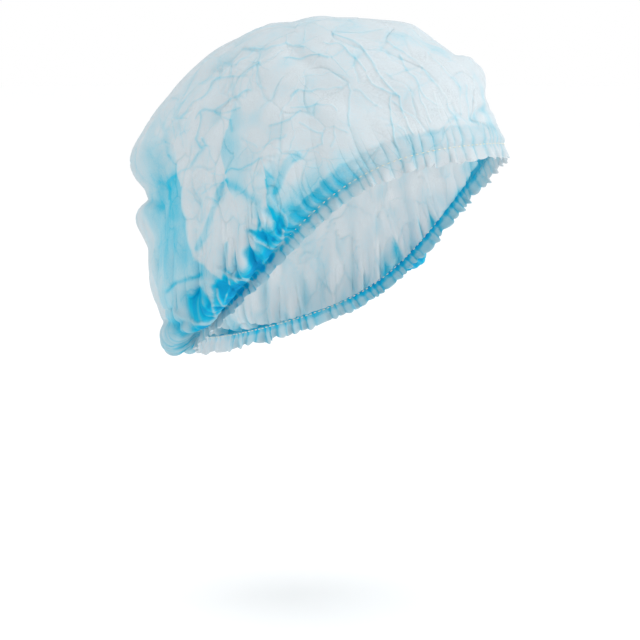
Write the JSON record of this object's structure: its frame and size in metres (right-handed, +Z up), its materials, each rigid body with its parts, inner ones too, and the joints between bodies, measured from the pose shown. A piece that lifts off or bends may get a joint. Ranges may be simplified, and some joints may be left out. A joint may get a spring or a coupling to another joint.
{
  "type": "disposable bouffant hairnet",
  "caption": "Thin nonwoven bouffant hair cap in its worn form, open below, with an elastic-gathered edge, a frill and a turned hem.",
  "frame": {"origin": "where the crown of the wearer's head meets the inside of the cap at its top", "axes": "+Z up, -Y the way the wearer faces, +X the wearer's left"},
  "size_m": [0.1882, 0.2282, 0.204],
  "materials": {
    "nonwoven": "thin translucent spunbond nonwoven, pale blue, matt",
    "gathered_nonwoven": "the same nonwoven in double and gathered layers, stronger blue, matt",
    "elastic_thread": "cream covered elastic thread with a stitched, dotted look"
  },
  "bodies": {
    "root": {"crown": "nonwoven", "frill": "gathered_nonwoven", "turned_hem": "gathered_nonwoven", "elastic": "elastic_thread"}
  },
  "joints": []
}
